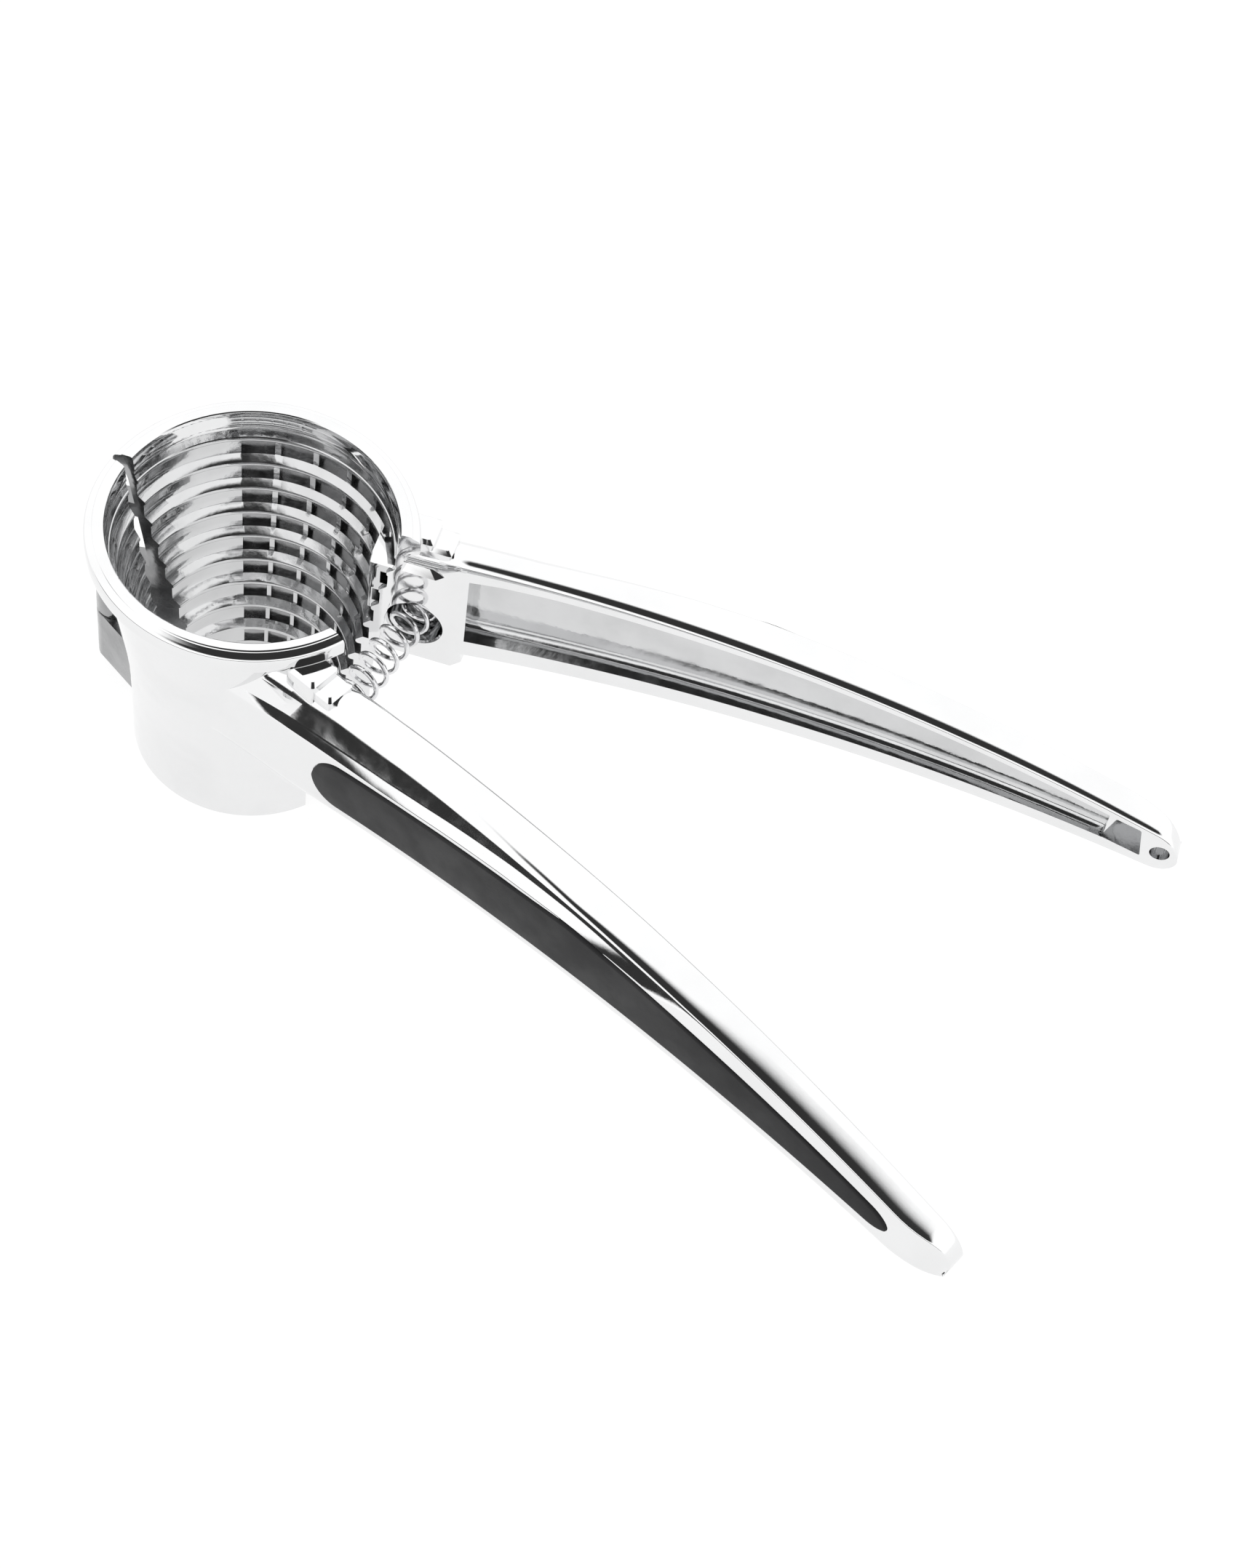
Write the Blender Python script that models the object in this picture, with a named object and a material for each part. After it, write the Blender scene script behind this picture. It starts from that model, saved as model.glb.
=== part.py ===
"""Funnel nut cracker: two hinged cast halves, hinge pin, return spring and two grip pads.

Frame: Z runs up the funnel's axis, X runs from the hinge towards the handles, and the
origin is the middle of the open tool's bounding box, level with the funnel's foot.
"""
import math

import bmesh
import bpy
from mathutils import Vector

MM = 0.001

# Funnel, in millimetres. Its rings are round about one vertical axis while the tool is open.
FUNNEL_HEIGHT = 60.0
RIM_RADIUS = 30.0
RIM_EDGE_HEIGHT = 4.3
RIM_BEVEL = 0.7
MOUTH_RADIUS = 26.1
BODY_TOP_RADIUS = 27.4
BODY_WAIST_RADIUS = 23.8
BODY_FOOT_RADIUS = 22.4
BODY_WAIST_Z = 30.0
BODY_FOOT_Z = 12.0
RING_COUNT = 9
RING_PITCH = 5.56
RING_TOP_Z = 53.6
RING_TOP_RADIUS = 25.4
RING_STEP = 1.22
RING_LAND = 4.2
RING_DRAFT = 0.2
THROAT_GROOVE = 0.7
LATHE_STEPS = 64

# Hinge.
HINGE_DISTANCE = RIM_RADIUS + 0.6
OPEN_ANGLE = 25.0
MATING_GAP = 0.3
BARREL_RADIUS = 4.0
PIN_RADIUS = 1.75
PIN_CLEARANCE = 0.1
RUNNING_GAP = 0.3
BARREL_BOTTOM = 1.6
BARREL_TOP = 47.0
KNUCKLE_SPLITS = (14.9, 29.9, 43.2)
WEB_REACH = 13.0
WEB_HEIGHT = 8.6
PIN_HEAD_RADIUS = 2.8
PIN_HEAD_HEIGHT = 0.9

# Handles. X is measured from the hinge axis along a half's own mating plane.
HANDLE_START = 42.0
HANDLE_TIP = 205.5
HANDLE_INNER_Y = 2.2
HANDLE_OUTER_Y = 13.3
HANDLE_TAPER = 0.0198
HANDLE_LEAN = 1.4
HANDLE_LEAN_START = 110.0
HANDLE_ROOT_FLARE = 2.2
HANDLE_TIP_DROP = 2.2
TIP_ROUND = 5.2
TOP_DROP = 6.6
TOP_RISE = 14.4
TOP_FALL = 36.8
BOTTOM_DROP = 34.0
BOTTOM_RISE = 29.3
BOTTOM_FALL = 33.4
PROFILE_ORIGIN = 60.0
PROFILE_SPAN = 150.0
CHAMFER_WIDTH = 1.8
CHAMFER_DROP = 2.4
LOWER_CHAMFER_WIDTH = 2.6
LOWER_CHAMFER_RISE = 3.2
EDGE_BREAK = 0.7
CHANNEL_START = 68.3
CHANNEL_END = 189.5
CHANNEL_FLOOR_Y = (6.6, 4.6)
CHANNEL_TOP_RIM = (3.6, 1.6)
CHANNEL_BOTTOM_RIM = (4.3, 2.9)
CHANNEL_FILLET = 0.7
TIP_POCKET_START = 191.2
TIP_POCKET_END = 198.6
TIP_POCKET_RIM = 2.2
TIP_POCKET_FLOOR_Y = 6.9
TIP_HOLE_X = 202.0
TIP_HOLE_RADIUS = 1.5
TIP_HOLE_FLOOR_Y = 5.5

# Spring seat block at the root of each handle.
BLOCK_START = 51.0
BLOCK_END = 65.4
BLOCK_INNER_Y = 1.0
BLOCK_BOTTOM = 24.5
BLOCK_TOP = 50.0
BLOCK_OUTER_Y = 11.4
SOCKET_X = 58.7
SOCKET_Z = 34.7
SOCKET_RADIUS = 5.2
SOCKET_FLOOR_Y = 8.6
COLLAR_STEPS = ((55.0, 60.6, 56.2), (55.0, 64.4, 54.9))
COLLAR_INNER_Y = 3.0
COLLAR_OUTER_Y = 9.6

# Grip pads.
PAD_START = 64.5
PAD_END = 194.0
PAD_START_ROUND = 6.0
PAD_END_ROUND = 4.0
PAD_TOP_MARGIN = 2.9
PAD_ROOT_MARGIN = 7.1
PAD_ROOT_SPAN = 58.0
PAD_BOTTOM_MARGIN = 5.3
PAD_PROUD = 0.5
PAD_DEPTH = 1.0
PAD_GAP = 0.3
PAD_EDGE = 0.4
RECESS_REACH = 6.0

# Spring.
SPRING_OUTER_RADIUS = 3.7
SPRING_WIRE_RADIUS = 0.5
SPRING_TURNS = 9.0
SPRING_SEAT_GAP = 0.35
SPRING_STEPS_PER_TURN = 12

HALF_ANGLE = math.radians(OPEN_ANGLE / 2.0)
AXIS_X = HINGE_DISTANCE * math.cos(HALF_ANGLE)
AXIS_Y = -HINGE_DISTANCE * math.sin(HALF_ANGLE)
HINGE_X = -0.5 * (
    HANDLE_TIP * math.cos(HALF_ANGLE) - HANDLE_INNER_Y * math.sin(HALF_ANGLE) - BARREL_RADIUS
)
HUGE = 400.0


def clear_scene():
    for item in list(bpy.data.objects):
        bpy.data.objects.remove(item, do_unlink=True)


def material(name, colour, roughness, metallic):
    made = bpy.data.materials.new(name)
    made.use_nodes = True
    shader = made.node_tree.nodes["Principled BSDF"]
    shader.inputs["Base Color"].default_value = (*colour, 1.0)
    shader.inputs["Roughness"].default_value = roughness
    shader.inputs["Metallic"].default_value = metallic
    made.diffuse_color = (*colour, 1.0)
    return made


def object_from(bm, name):
    bmesh.ops.recalc_face_normals(bm, faces=bm.faces)
    mesh = bpy.data.meshes.new(name)
    bm.to_mesh(mesh)
    bm.free()
    made = bpy.data.objects.new(name, mesh)
    bpy.context.scene.collection.objects.link(made)
    return made


def skin(rings, name):
    """Joins equal point rings into one closed body with flat ends."""
    bm = bmesh.new()
    rows = []
    for ring in rings:
        rows.append([bm.verts.new([value * MM for value in point]) for point in ring])
    count = len(rings[0])
    for lower, upper in zip(rows[:-1], rows[1:]):
        for i in range(count):
            j = (i + 1) % count
            bm.faces.new((lower[i], lower[j], upper[j], upper[i]))
    bm.faces.new(list(reversed(rows[0])))
    bm.faces.new(rows[-1])
    return object_from(bm, name)


def turned(profile, name, centre, steps=LATHE_STEPS):
    """Turns (radius, z) points about a vertical axis through centre."""
    rings = []
    for radius, z in profile:
        ring = []
        for i in range(steps):
            angle = 2.0 * math.pi * i / steps
            x = centre[0] + radius * math.cos(angle)
            y = centre[1] + radius * math.sin(angle)
            ring.append((x, y, z))
        rings.append(ring)
    return skin(rings, name)


def box(name, low, high):
    x0, y0, z0 = low
    x1, y1, z1 = high
    lower = [(x0, y0, z0), (x1, y0, z0), (x1, y1, z0), (x0, y1, z0)]
    upper = [(x, y, z1) for x, y, _ in lower]
    return skin([lower, upper], name)


def cylinder_z(name, radius, z0, z1, steps=28):
    return turned([(radius, z0), (radius, z1)], name, (0.0, 0.0), steps)


def cylinder_y(name, centre, radius, y0, y1, steps=28):
    rings = []
    for y in (y0, y1):
        ring = []
        for i in range(steps):
            angle = 2.0 * math.pi * i / steps
            x = centre[0] + radius * math.cos(angle)
            z = centre[1] + radius * math.sin(angle)
            ring.append((x, y, z))
        rings.append(ring)
    return skin(rings, name)


def combine(target, tool, operation):
    """Applies one exact boolean and removes the tool object."""
    tool.hide_render = True
    tool.display_type = "WIRE"
    modifier = target.modifiers.new("cut", "BOOLEAN")
    modifier.operation = operation
    modifier.solver = "EXACT"
    modifier.object = tool
    graph = bpy.context.evaluated_depsgraph_get()
    mesh = bpy.data.meshes.new_from_object(target.evaluated_get(graph))
    target.modifiers.remove(modifier)
    target.data = mesh
    bpy.data.objects.remove(tool, do_unlink=True)


def handle_top(x):
    u = (max(x, PROFILE_ORIGIN) - PROFILE_ORIGIN) / PROFILE_SPAN
    return FUNNEL_HEIGHT - TOP_DROP + TOP_RISE * u - TOP_FALL * u * u


def handle_bottom(x):
    u = (max(x, PROFILE_ORIGIN) - PROFILE_ORIGIN) / PROFILE_SPAN
    return FUNNEL_HEIGHT - BOTTOM_DROP + BOTTOM_RISE * u - BOTTOM_FALL * u * u


def handle_outer(x):
    """Outermost Y of the handle at x, on the lower part of its grip face."""
    root = max(0.0, 1.0 - (x - HANDLE_START) / (PAD_START - HANDLE_START))
    tip = max(0.0, (x - PAD_END) / (HANDLE_TIP - PAD_END))
    taper = HANDLE_TAPER * (x - PROFILE_ORIGIN)
    return HANDLE_OUTER_Y - taper + HANDLE_ROOT_FLARE * root * root - HANDLE_TIP_DROP * tip * tip


def handle_lean(x):
    """How far the grip face leans inwards from its lower edge to its upper edge at x."""
    share = (x - HANDLE_LEAN_START) / (PAD_END - HANDLE_LEAN_START)
    return HANDLE_LEAN * min(max(share, 0.0), 1.0)


def grip_face(x, z):
    """Y of the handle's grip face at x and z."""
    low = handle_bottom(x) + LOWER_CHAMFER_RISE
    high = handle_top(x) - CHAMFER_DROP
    return handle_outer(x) - handle_lean(x) * (z - low) / (high - low)


def tip_scale(x):
    """Share of the full height left at x, so that the end is round in side view."""
    past = (x - (HANDLE_TIP - TIP_ROUND)) / TIP_ROUND
    if past <= 0.0:
        return 1.0
    return math.sqrt(max(0.0, 1.0 - past * past))


def handle_ring(x):
    scale = tip_scale(x)
    middle = 0.5 * (handle_top(x) + handle_bottom(x))
    half = 0.5 * (handle_top(x) - handle_bottom(x)) * scale
    low = middle - half
    high = middle + half
    outer = handle_outer(x)
    upper = outer - handle_lean(x)
    crease = outer - CHAMFER_WIDTH
    inner = HANDLE_INNER_Y
    edge = EDGE_BREAK * scale
    drop = CHAMFER_DROP * scale
    rise = LOWER_CHAMFER_RISE * scale
    return [
        (x, inner, low + edge),
        (x, inner + EDGE_BREAK, low),
        (x, outer - LOWER_CHAMFER_WIDTH, low),
        (x, outer - 0.7, low + 0.45 * rise),
        (x, outer, low + rise),
        (x, upper, high - drop),
        (x, 0.5 * (upper + crease), high - 0.45 * drop),
        (x, crease, high),
        (x, inner + EDGE_BREAK, high),
        (x, inner, high - edge),
    ]


def handle_stations():
    stations = [HANDLE_START, 48.0, 54.0, 60.0]
    count = 14
    for i in range(1, count + 1):
        stations.append(60.0 + (HANDLE_TIP - TIP_ROUND - 60.0) * i / count)
    for share in (0.35, 0.62, 0.82, 0.94, 0.99):
        stations.append(HANDLE_TIP - TIP_ROUND + TIP_ROUND * share)
    return stations


def evenly(start, end, count):
    return [start + (end - start) * i / (count - 1) for i in range(count)]


def along_channel(ends, x):
    """Value between a channel size's two ends at x."""
    share = (x - CHANNEL_START) / (CHANNEL_END - CHANNEL_START)
    return ends[0] + (ends[1] - ends[0]) * share


def channel_ring(x):
    low = handle_bottom(x) + along_channel(CHANNEL_BOTTOM_RIM, x)
    high = handle_top(x) - along_channel(CHANNEL_TOP_RIM, x)
    floor = along_channel(CHANNEL_FLOOR_Y, x)
    return [
        (x, -1.0, low),
        (x, floor - CHANNEL_FILLET, low),
        (x, floor, low + CHANNEL_FILLET),
        (x, floor, high - CHANNEL_FILLET),
        (x, floor - CHANNEL_FILLET, high),
        (x, -1.0, high),
    ]


def pad_limits(x, grow):
    """Lower and upper edge of the grip at x, taken outwards by grow."""
    root = max(0.0, 1.0 - (x - PAD_START) / PAD_ROOT_SPAN)
    low = handle_bottom(x) + PAD_BOTTOM_MARGIN
    high = handle_top(x) - PAD_TOP_MARGIN - PAD_ROOT_MARGIN * root
    middle = 0.5 * (low + high)
    past_start = max(0.0, (PAD_START + PAD_START_ROUND - x) / (PAD_START_ROUND + grow))
    past_end = max(0.0, (x - PAD_END + PAD_END_ROUND) / (PAD_END_ROUND + grow))
    bow = math.sqrt(max(0.0, 1.0 - past_start ** 2 - past_end ** 2))
    half = (0.5 * (high - low) + grow) * bow
    return middle - half, middle + half


def pad_stations(grow):
    angles = [math.radians(v) for v in (10.0, 25.0, 40.0, 55.0, 70.0)]
    start_round = PAD_START_ROUND + grow
    end_round = PAD_END_ROUND + grow
    start_centre = PAD_START + PAD_START_ROUND
    end_centre = PAD_END - PAD_END_ROUND
    stations = [start_centre - start_round * math.cos(angle) for angle in angles]
    stations += evenly(start_centre, end_centre, 16)
    stations += [end_centre + end_round * math.cos(angle) for angle in reversed(angles)]
    return stations


def recess_ring(x, low, high, deep, proud):
    return [
        (x, grip_face(x, low) - deep, low),
        (x, grip_face(x, high) - deep, high),
        (x, grip_face(x, high) + proud, high),
        (x, grip_face(x, low) + proud, low),
    ]


def pad_solid(name, grow, deep, proud, edge):
    """Body that follows the grip face, from deep below it to proud above it."""
    rings = []
    for x in pad_stations(grow):
        low, high = pad_limits(x, grow)
        inset = min(edge, 0.25 * (high - low))
        if not edge:
            rings.append(recess_ring(x, low, high, deep, proud))
            continue
        inner_low = grip_face(x, low) - deep
        inner_high = grip_face(x, high) - deep
        outer_low = grip_face(x, low) + proud
        outer_high = grip_face(x, high) + proud
        rings.append([
            (x, inner_low, low),
            (x, inner_high, high),
            (x, outer_high - edge, high),
            (x, outer_high, high - inset),
            (x, outer_low, low + inset),
            (x, outer_low - edge, low),
        ])
    return skin(rings, name)


def body_profile():
    rim_low = FUNNEL_HEIGHT - RIM_EDGE_HEIGHT
    return [
        (BODY_FOOT_RADIUS - 0.8, 0.0),
        (BODY_FOOT_RADIUS, 0.8),
        (BODY_FOOT_RADIUS, BODY_FOOT_Z),
        (BODY_WAIST_RADIUS, BODY_WAIST_Z),
        (BODY_TOP_RADIUS, rim_low - 0.9),
        (RIM_RADIUS - RIM_BEVEL, rim_low),
        (RIM_RADIUS, rim_low + RIM_BEVEL),
        (RIM_RADIUS, FUNNEL_HEIGHT - RIM_BEVEL),
        (RIM_RADIUS - RIM_BEVEL, FUNNEL_HEIGHT),
    ]


def cavity_profile():
    points = []
    for i in reversed(range(RING_COUNT)):
        top_z = RING_TOP_Z - RING_PITCH * i
        radius = RING_TOP_RADIUS - RING_STEP * i
        points.append((radius - RING_DRAFT, top_z - RING_LAND))
        points.append((radius, top_z))
    points.insert(0, (points[0][0], -2.0))
    points.append((RING_TOP_RADIUS + THROAT_GROOVE, RING_TOP_Z + 0.8))
    points.append((RING_TOP_RADIUS + THROAT_GROOVE, RING_TOP_Z + 2.2))
    points.append((MOUTH_RADIUS - 0.8, RING_TOP_Z + 3.0))
    points.append((MOUTH_RADIUS, FUNNEL_HEIGHT))
    points.append((MOUTH_RADIUS, FUNNEL_HEIGHT + 2.0))
    return points


def knuckles(lower_set):
    """Z ranges of one half's knuckles, kept a running gap from the other half's."""
    levels = (BARREL_BOTTOM, *KNUCKLE_SPLITS, BARREL_TOP)
    spans = []
    for i in range(len(levels) - 1):
        mine = (i % 2 == 0) == lower_set
        if not mine:
            continue
        low = levels[i] + (RUNNING_GAP / 2.0 if i > 0 else 0.0)
        high = levels[i + 1] - (RUNNING_GAP / 2.0 if i < len(levels) - 2 else 0.0)
        spans.append((low, high))
    return spans


def web(span):
    low, high = span
    outline = [
        (0.0, MATING_GAP),
        (WEB_REACH, MATING_GAP),
        (WEB_REACH, WEB_HEIGHT),
        (-1.2, BARREL_RADIUS - 0.2),
    ]
    rings = [[(x, y, z) for x, y in outline] for z in (low, high)]
    return skin(rings, "web")


def half_body(name, lower_set):
    """One cast half in its own frame: hinge axis at the origin, metal on the +Y side."""
    axis = (AXIS_X, AXIS_Y)
    body = turned(body_profile(), name, axis)
    combine(body, skin([handle_ring(x) for x in handle_stations()], "arm"), "UNION")
    block_low = (BLOCK_START, BLOCK_INNER_Y, BLOCK_BOTTOM)
    block_high = (BLOCK_END, BLOCK_OUTER_Y, BLOCK_TOP)
    combine(body, box("block", block_low, block_high), "UNION")
    for start, end, top in COLLAR_STEPS:
        low = (start, COLLAR_INNER_Y, BLOCK_TOP)
        combine(body, box("collar", low, (end, COLLAR_OUTER_Y, top)), "UNION")
    combine(body, box("far_side", (-HUGE, -HUGE, -HUGE), (HUGE, MATING_GAP, HUGE)), "DIFFERENCE")
    for span in knuckles(lower_set):
        combine(body, cylinder_z("barrel", BARREL_RADIUS, *span), "UNION")
        combine(body, web(span), "UNION")
    combine(body, turned(cavity_profile(), "cavity", axis), "DIFFERENCE")
    bore_radius = PIN_RADIUS + PIN_CLEARANCE
    combine(body, cylinder_z("bore", bore_radius, -5.0, BARREL_TOP + 3.0), "DIFFERENCE")
    cut_handle(body)
    return body


def cut_handle(body):
    socket = cylinder_y("socket", (SOCKET_X, SOCKET_Z), SOCKET_RADIUS, -1.0, SOCKET_FLOOR_Y)
    combine(body, socket, "DIFFERENCE")
    stations = evenly(CHANNEL_START, CHANNEL_END, 14)
    combine(body, skin([channel_ring(x) for x in stations], "channel"), "DIFFERENCE")
    low = handle_bottom(TIP_POCKET_START) + TIP_POCKET_RIM
    high = handle_top(TIP_POCKET_END) - TIP_POCKET_RIM
    pocket_low = (TIP_POCKET_START, -1.0, low)
    pocket_high = (TIP_POCKET_END, TIP_POCKET_FLOOR_Y, high)
    combine(body, box("pocket", pocket_low, pocket_high), "DIFFERENCE")
    hole_z = 0.5 * (handle_top(TIP_HOLE_X) + handle_bottom(TIP_HOLE_X))
    hole = cylinder_y("hole", (TIP_HOLE_X, hole_z), TIP_HOLE_RADIUS, -1.0, TIP_HOLE_FLOOR_Y, 16)
    combine(body, hole, "DIFFERENCE")
    recess = pad_solid("recess", PAD_GAP, PAD_DEPTH + PAD_GAP, RECESS_REACH, 0.0)
    combine(body, recess, "DIFFERENCE")


def grip_pad(name):
    return pad_solid(name, 0.0, PAD_DEPTH, PAD_PROUD, PAD_EDGE)


def spring(name):
    """Closed helix along Y between the two sockets, in the tool's own frame."""
    reach = SOCKET_X * math.sin(HALF_ANGLE) + SOCKET_FLOOR_Y * math.cos(HALF_ANGLE)
    coil = SPRING_OUTER_RADIUS - SPRING_WIRE_RADIUS
    lean = SPRING_OUTER_RADIUS * math.sin(HALF_ANGLE)
    half_length = reach - lean - SPRING_WIRE_RADIUS - SPRING_SEAT_GAP
    total = int(SPRING_TURNS * SPRING_STEPS_PER_TURN)
    sides = 6
    rings = []
    for i in range(total + 1):
        share = i / total
        angle = 2.0 * math.pi * SPRING_TURNS * share
        y = half_length * (2.0 * share - 1.0)
        outward = Vector((math.cos(angle), 0.0, math.sin(angle)))
        centre = outward * coil + Vector((0.0, y, 0.0))
        ring = []
        for k in range(sides):
            turn = 2.0 * math.pi * k / sides
            offset = outward * math.cos(turn) + Vector((0.0, 1.0, 0.0)) * math.sin(turn)
            ring.append(tuple(centre + offset * SPRING_WIRE_RADIUS))
        rings.append(ring)
    return skin(rings, name)


def mirror_y(item):
    for vertex in item.data.vertices:
        vertex.co.y = -vertex.co.y
    item.data.flip_normals()


def tidy(item):
    """Welds coincident points and gives round faces smooth shading."""
    bm = bmesh.new()
    bm.from_mesh(item.data)
    bmesh.ops.remove_doubles(bm, verts=bm.verts, dist=2e-6)
    bmesh.ops.dissolve_degenerate(bm, dist=1e-6, edges=bm.edges)
    bmesh.ops.recalc_face_normals(bm, faces=bm.faces)
    bm.to_mesh(item.data)
    bm.free()
    item.data.shade_smooth()
    item.data.set_sharp_from_angle(angle=math.radians(28.0))


def finish(item, made_of):
    tidy(item)
    item.data.materials.clear()
    item.data.materials.append(made_of)
    for polygon in item.data.polygons:
        polygon.material_index = 0


def place(item, side):
    item.location = (HINGE_X * MM, 0.0, 0.0)
    item.rotation_euler = (0.0, 0.0, side * HALF_ANGLE)


def pin(name):
    head_low = BARREL_TOP + RUNNING_GAP
    profile = [
        (PIN_RADIUS - 0.3, BARREL_BOTTOM - 0.4),
        (PIN_RADIUS, BARREL_BOTTOM - 0.1),
        (PIN_RADIUS, head_low),
        (PIN_HEAD_RADIUS, head_low),
        (PIN_HEAD_RADIUS, head_low + PIN_HEAD_HEIGHT * 0.6),
        (PIN_HEAD_RADIUS * 0.7, head_low + PIN_HEAD_HEIGHT),
    ]
    return turned(profile, name, (0.0, 0.0), 24)


def build():
    clear_scene()
    chrome = material("chrome_plate", (0.82, 0.83, 0.84), 0.12, 1.0)
    steel = material("spring_steel", (0.70, 0.71, 0.73), 0.22, 1.0)
    dark_steel = material("pin_steel", (0.45, 0.45, 0.46), 0.35, 1.0)
    rubber = material("black_rubber", (0.02, 0.02, 0.02), 0.6, 0.0)

    rear = half_body("rear_half", False)
    finish(rear, chrome)
    place(rear, 1.0)

    front = half_body("front_half", True)
    mirror_y(front)
    finish(front, chrome)
    place(front, -1.0)

    rear_pad = grip_pad("rear_grip")
    finish(rear_pad, rubber)
    place(rear_pad, 1.0)

    front_pad = grip_pad("front_grip")
    mirror_y(front_pad)
    finish(front_pad, rubber)
    place(front_pad, -1.0)

    hinge_pin = pin("hinge_pin")
    finish(hinge_pin, dark_steel)
    hinge_pin.location = (HINGE_X * MM, 0.0, 0.0)

    coil = spring("return_spring")
    finish(coil, steel)
    middle_y = 0.5 * (HANDLE_INNER_Y + SOCKET_FLOOR_Y)
    spring_x = HINGE_X + SOCKET_X * math.cos(HALF_ANGLE) - middle_y * math.sin(HALF_ANGLE)
    coil.location = (spring_x * MM, 0.0, SOCKET_Z * MM)
    bpy.context.view_layer.update()


build()
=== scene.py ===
"""Looks of the funnel nut cracker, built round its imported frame.

The finer castings, grips, pin and spring stand in the row frame, in metres. Shapes are
drawn in millimetres in a half's own frame, which has the hinge axis at its origin, the
mating plane at y = 0 and the metal on the +Y side, and are then turned into place.
"""

import logging
import math
from dataclasses import dataclass
from enum import Enum
from typing import Callable, Sequence

import bmesh
import bpy
import numpy as np
from bpy.types import Material, Mesh, Node, NodeInputs, NodeOutputs, NodeSocket, NodeTree, Object
from mathutils import Matrix, Vector

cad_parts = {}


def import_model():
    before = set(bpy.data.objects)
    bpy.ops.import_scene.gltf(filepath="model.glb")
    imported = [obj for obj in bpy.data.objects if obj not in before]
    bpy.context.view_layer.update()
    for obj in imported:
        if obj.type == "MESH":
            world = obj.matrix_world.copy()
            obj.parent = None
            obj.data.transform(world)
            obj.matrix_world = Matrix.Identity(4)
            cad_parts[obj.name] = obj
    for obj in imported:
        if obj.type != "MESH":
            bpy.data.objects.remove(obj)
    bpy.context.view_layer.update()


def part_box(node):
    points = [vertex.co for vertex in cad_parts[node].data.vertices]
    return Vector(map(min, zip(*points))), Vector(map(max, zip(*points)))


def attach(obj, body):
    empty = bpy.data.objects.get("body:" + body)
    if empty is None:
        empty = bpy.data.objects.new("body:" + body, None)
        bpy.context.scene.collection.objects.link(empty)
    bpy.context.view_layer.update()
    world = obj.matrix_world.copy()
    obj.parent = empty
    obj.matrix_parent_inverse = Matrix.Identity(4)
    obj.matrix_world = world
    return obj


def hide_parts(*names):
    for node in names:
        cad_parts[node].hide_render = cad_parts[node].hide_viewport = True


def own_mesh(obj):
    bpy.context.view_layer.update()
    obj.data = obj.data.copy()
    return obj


LOG = logging.getLogger("nut_cracker")
MM = 0.001
PLATE_SLOT = 0
CAST_SLOT = 1
# Slot of the darker casting: painted shade on the hinge knuckles, the tooth pockets and one mating face
PAINTED_SHADE_SLOT = 2
SMOOTH_ANGLE = math.radians(27.0)
HALF_OPEN = math.radians(12.5)
FUNNEL_HEIGHT = 60.0
CORNER_POINTS = 4

Point = tuple[float, float, float]
Flat = tuple[float, float]


class Side(Enum):
    """Which of the two mirrored halves a piece belongs to."""

    REAR = 1.0
    FRONT = -1.0


# ------------------------------------------------------------------ mesh helpers


def lerp(a: float, b: float, share: float) -> float:
    """Value a given share of the way from a to b."""
    return a + (b - a) * share


def ramp(x: float, knots: Sequence[Flat]) -> float:
    """Straight-line reading of (x, value) knots, held level past both ends."""
    return float(np.interp(x, [k[0] for k in knots], [k[1] for k in knots]))


def evenly(start: float, end: float, count: int) -> list[float]:
    """Count values from start to end, both included."""
    return [lerp(start, end, i / (count - 1)) for i in range(count)]


def rounded(corner: Flat, before: Flat, after: Flat, reach: Flat, count: int) -> list[Flat]:
    """Points of a smooth curve that cuts one corner of a polygon.

    Args:
        corner: The corner that is cut.
        before: The polygon's corner before it.
        after: The polygon's corner after it.
        reach: How far the curve starts before the corner and ends after it.
        count: How many points the curve has.

    Returns:
        The curve's points, in the polygon's order.
    """
    here = Vector(corner)
    back = (Vector(before) - here).normalized() * reach[0]
    ahead = (Vector(after) - here).normalized() * reach[1]
    points = []
    for share in evenly(0.0, 1.0, count):
        point = here + back * (1.0 - share) ** 2 + ahead * share ** 2
        points.append((point.x, point.y))
    return points


def softened(
    corners: Sequence[Flat], reach: Sequence[Flat], counts: Sequence[int] = ()
) -> list[Flat]:
    """Closed outline with every corner cut by its own reach and number of points."""
    points = []
    for i, corner in enumerate(corners):
        count = counts[i] if counts else CORNER_POINTS
        points += rounded(corner, corners[i - 1], corners[(i + 1) % len(corners)], reach[i], count)
    return points


def circle(radius: float, steps: int) -> list[Flat]:
    """Evenly spaced points of a circle about the origin."""
    angles = [2.0 * math.pi * i / steps for i in range(steps)]
    return [(radius * math.cos(angle), radius * math.sin(angle)) for angle in angles]


def linked(name: str, mesh: Mesh) -> Object:
    """New object at the origin, linked to the scene, that shows the mesh."""
    made = bpy.data.objects.new(name, mesh)
    bpy.context.scene.collection.objects.link(made)
    return made


def object_from(bm: bmesh.types.BMesh, name: str) -> Object:
    """Object at the origin that holds bm, which is freed, with its faces pointing outwards."""
    bmesh.ops.recalc_face_normals(bm, faces=bm.faces)
    mesh = bpy.data.meshes.new(name)
    bm.to_mesh(mesh)
    bm.free()
    return linked(name, mesh)


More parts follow.
